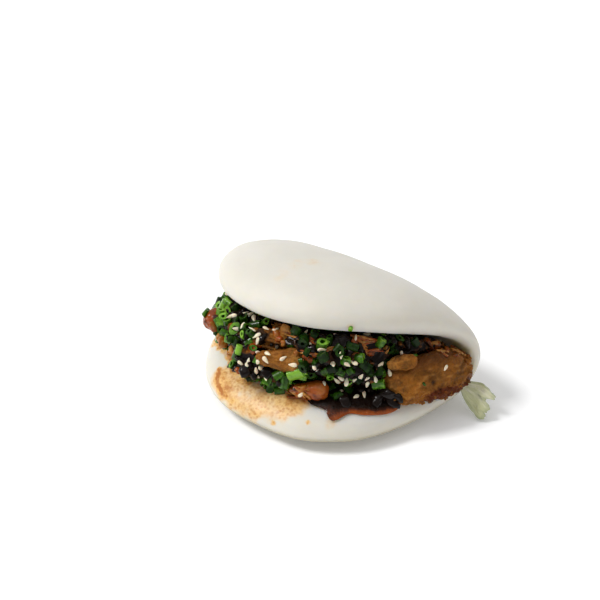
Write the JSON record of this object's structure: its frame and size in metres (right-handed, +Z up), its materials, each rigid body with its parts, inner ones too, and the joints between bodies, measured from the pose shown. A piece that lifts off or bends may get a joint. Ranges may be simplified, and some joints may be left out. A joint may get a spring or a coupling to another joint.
{
  "type": "duck bao",
  "caption": "Steamed lotus-leaf bun folded over sauced roast duck, chives and sesame seeds, with dark sauce and a bit of lettuce at one end.",
  "frame": {"origin": "middle of the flat underside on which the bun lies", "axes": "+X along the fold towards the lettuce end, -Y out of the open mouth, +Z up"},
  "size_m": [0.1199, 0.0804, 0.0562],
  "materials": {
    "bun": "matte",
    "filling": "satin",
    "duck": "satin",
    "glazed_duck": "gloss",
    "sauce": "gloss",
    "lettuce": "satin"
  },
  "bodies": {
    "root": {"bun": "bun", "lettuce_leaf": "lettuce", "duck_slice_right": "duck", "duck_strip_right": "duck", "duck_piece_center": "duck", "duck_piece_upper": "duck", "duck_piece_left_end": "glazed_duck", "duck_piece_front": "glazed_duck", "sauce_pool": "sauce", "filling_heap": "filling"}
  },
  "joints": []
}
